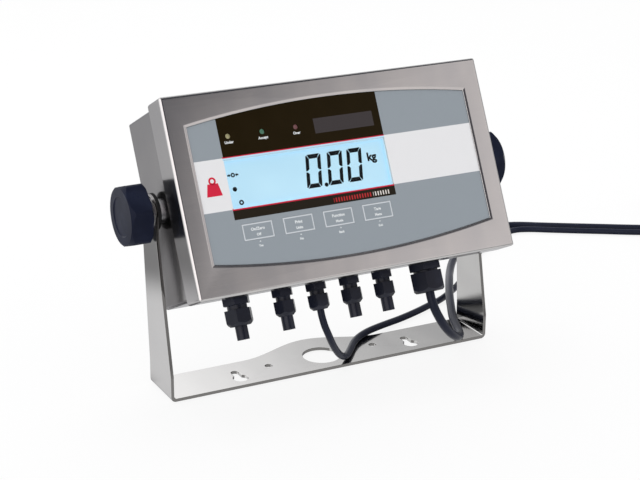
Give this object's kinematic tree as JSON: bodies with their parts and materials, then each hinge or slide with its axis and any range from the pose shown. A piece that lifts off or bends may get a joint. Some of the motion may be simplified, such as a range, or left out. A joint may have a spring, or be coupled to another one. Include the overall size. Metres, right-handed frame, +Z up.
{
  "type": "weighing indicator",
  "caption": "Tilting stainless weighing indicator with a display and membrane keys, held in a U bracket by clamp knobs, with cable glands and two cords.",
  "frame": {"origin": "middle of the underside of the bracket base, on the surface it stands on", "axes": "+X to the right of a reader facing the display, +Y to the back, +Z up"},
  "size_m": [0.7151, 0.2603, 0.2274],
  "materials": {
    "stainless": "brushed stainless sheet, fine grain",
    "back_shell": "brushed stainless sheet",
    "plated_steel": "bright plated steel",
    "label_grey": "satin printed film",
    "clear_pane": "clear polycarbonate",
    "smoked_pane": "dark tinted film",
    "keypad_film": "matt film",
    "dome_steel": "sprung steel domes",
    "key_film": "satin printed film",
    "lcd_glass": "liquid crystal cell",
    "bezel_steel": "pressed steel frame",
    "light_guide": "white diffuser",
    "lamp_resin": "tinted resin",
    "board_green": "solder resist on glass laminate",
    "chip_black": "moulded epoxy",
    "block_green": "moulded plastic",
    "winding_tape": "yellow tape over a wound core",
    "capacitor_sleeve": "shrunk sleeve",
    "ribbon_grey": "flat insulated wire",
    "brass": "machined brass",
    "seal_rubber": "matt rubber",
    "knob_plastic": "moulded plastic with a soft shine",
    "gland_plastic": "moulded nylon",
    "cord_jacket": "satin jacket",
    "lead_sheath": "thin insulation",
    "tie_wrap": "hook and loop strap",
    "connector_metal": "nickel plated",
    "plug_plastic": "moulded plug"
  },
  "bodies": {
    "stand": {"bracket": "stainless", "sensor_cable": "cord_jacket", "sensor_coil": "cord_jacket", "sensor_tie": "tie_wrap", "sensor_connector": "connector_metal", "power_cord": "cord_jacket", "power_coil": "cord_jacket", "power_tie": "tie_wrap", "power_plug": "plug_plastic", "plug_pins": "brass"},
    "housing": {"front_cover": "stainless", "back_case": "back_shell", "cover_gasket": "seal_rubber", "overlay": "label_grey", "display_window": "clear_pane", "status_window": "smoked_pane", "keypad_layer": "keypad_film", "key_domes": "dome_steel", "lcd_glass": "lcd_glass", "lcd_bezel": "bezel_steel", "backlight": "light_guide", "status_lamps": "lamp_resin", "display_board": "board_green", "display_posts": "plated_steel", "display_screws": "plated_steel", "main_board": "board_green", "board_posts": "plated_steel", "board_screws": "plated_steel", "board_chips": "chip_black", "terminal_blocks": "block_green", "supply_board": "board_green", "transformer": "winding_tape", "supply_capacitors": "capacitor_sleeve", "ribbon_cable": "ribbon_grey", "earth_stud": "brass", "cover_posts": "plated_steel", "cover_screws": "plated_steel", "seal_washers": "seal_rubber", "calibration_screw": "plated_steel", "pivot_bosses": "plated_steel", "friction_washers": "seal_rubber", "gland_washers": "seal_rubber", "gland_bodies": "gland_plastic", "gland_caps": "gland_plastic", "gland_seals": "seal_rubber", "gland_locknuts": "gland_plastic", "blanking_plugs": "gland_plastic", "inner_leads": "lead_sheath"},
    "left_clamp": {"washer_left": "plated_steel"},
    "left_knob": {"knob_left": "knob_plastic", "stud_left": "plated_steel"},
    "right_clamp": {"washer_right": "plated_steel"},
    "right_knob": {"knob_right": "knob_plastic", "stud_right": "plated_steel"},
    "zero_key": {"key_1": "key_film"},
    "print_key": {"key_2": "key_film"},
    "function_key": {"key_3": "key_film"},
    "tare_key": {"key_4": "key_film"}
  },
  "joints": [
    {"name": "tilt", "type": "hinge", "parent": "stand", "child": "housing", "pos_m": [0, 0.015, 0.1385], "axis": [1, 0, 0], "range_deg": [-30, 40], "deforming": ["sensor_cable", "power_cord"]},
    {"name": "left_travel", "type": "slide", "parent": "housing", "child": "left_clamp", "axis": [-1, 0, 0], "range_m": [0, 0.0026]},
    {"name": "left_turn", "type": "hinge", "parent": "left_clamp", "child": "left_knob", "pos_m": [0, 0.015, 0.1385], "axis": [-1, 0, 0], "range_deg": [0, 720]},
    {"name": "right_travel", "type": "slide", "parent": "housing", "child": "right_clamp", "axis": [1, 0, 0], "range_m": [0, 0.0026]},
    {"name": "right_turn", "type": "hinge", "parent": "right_clamp", "child": "right_knob", "pos_m": [0, 0.015, 0.1385], "axis": [1, 0, 0], "range_deg": [0, 720]},
    {"name": "zero_key_press", "type": "slide", "parent": "housing", "child": "zero_key", "axis": [0, 0.891, -0.454], "range_m": [0, 0.0004], "stiffness_N_per_m": 1000, "springref_m": -0.0002},
    {"name": "print_key_press", "type": "slide", "parent": "housing", "child": "print_key", "axis": [0, 0.891, -0.454], "range_m": [0, 0.0004], "stiffness_N_per_m": 1000, "springref_m": -0.0002},
    {"name": "function_key_press", "type": "slide", "parent": "housing", "child": "function_key", "axis": [0, 0.891, -0.454], "range_m": [0, 0.0004], "stiffness_N_per_m": 1000, "springref_m": -0.0002},
    {"name": "tare_key_press", "type": "slide", "parent": "housing", "child": "tare_key", "axis": [0, 0.891, -0.454], "range_m": [0, 0.0004], "stiffness_N_per_m": 1000, "springref_m": -0.0002}
  ],
  "couplings": [
    {"joint": "left_travel", "follows": "left_turn", "m_per_rad": 0.00019894},
    {"joint": "right_travel", "follows": "right_turn", "m_per_rad": 0.00019894}
  ]
}
